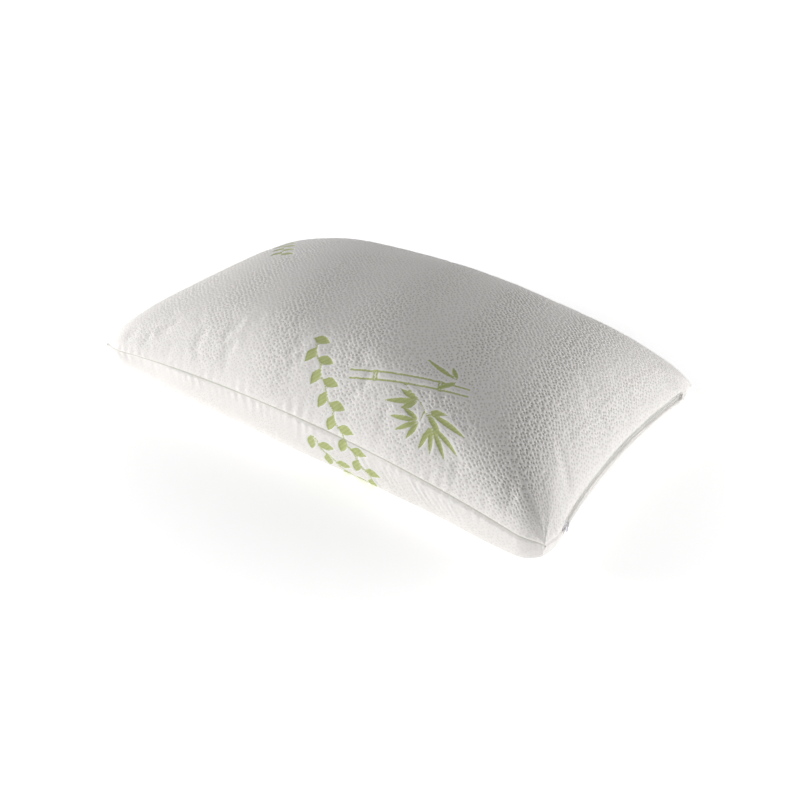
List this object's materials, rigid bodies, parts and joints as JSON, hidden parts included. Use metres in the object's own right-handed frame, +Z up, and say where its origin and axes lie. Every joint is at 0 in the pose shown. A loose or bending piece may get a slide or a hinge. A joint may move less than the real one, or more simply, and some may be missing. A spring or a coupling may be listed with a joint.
{
  "type": "bed pillow",
  "caption": "Stuffed bed pillow with a removable dimpled knit cover, zipped along one short end, over a lined foam filling.",
  "frame": {"origin": "on the ground, under the middle of the pillow", "axes": "+X along the pillow to its zipped end, -Y to the front long side, +Z up"},
  "size_m": [0.6646, 0.405, 0.159],
  "materials": {
    "knit_cover": "soft off-white dimpled jacquard knit with a pale green printed motif",
    "seam_edge": "overlocked fabric edge",
    "zip_tape": "woven polyester tape",
    "zip_coil": "translucent nylon spiral",
    "thread": "spun polyester thread",
    "nickel": "nickel plated, satin",
    "pull_plate": "nickel plated with a faint lilac tint",
    "liner": "fine plain-knit inner casing",
    "foam": "loose shredded foam"
  },
  "bodies": {
    "pillow": {"cover_top_panel": "knit_cover", "cover_bottom_panel": "knit_cover", "cover_seam_left": "seam_edge", "cover_seam_front": "seam_edge", "cover_seam_back": "seam_edge", "zip_tape_upper": "zip_tape", "zip_tape_lower": "zip_tape", "zip_coil_upper": "zip_coil", "zip_coil_lower": "zip_coil", "zip_topstitch_upper": "thread", "zip_topstitch_lower": "thread", "zip_top_stop_upper": "nickel", "zip_top_stop_lower": "nickel", "zip_bottom_stop": "nickel", "zip_bartack_front": "thread", "zip_bartack_back": "thread", "liner_top_panel": "liner", "liner_bottom_panel": "liner", "liner_edge_seam": "seam_edge", "foam_fill": "foam"},
    "zip_slider": {"zip_slider_body": "nickel"},
    "pull_ring": {"zip_pull_ring": "nickel"},
    "pull_tab": {"zip_pull_tab": "pull_plate"}
  },
  "joints": [
    {"name": "slider_travel", "type": "hinge", "parent": "pillow", "child": "zip_slider", "pos_m": [1.4211, 0, 0.042], "axis": [0, 0, -1], "range_deg": [0, 15.63], "deforming": ["zip_coil_upper", "zip_coil_lower"]},
    {"name": "ring_swing", "type": "hinge", "parent": "zip_slider", "child": "pull_ring", "pos_m": [0.32549, -0.15123, 0.042], "axis": [0.1367, -0.9906, 0], "range_deg": [0, 170]},
    {"name": "tab_swing", "type": "hinge", "parent": "pull_ring", "child": "pull_tab", "pos_m": [0.32549, -0.15123, 0.03985], "axis": [0.9906, 0.1367, 0], "range_deg": [-70, 70]}
  ]
}
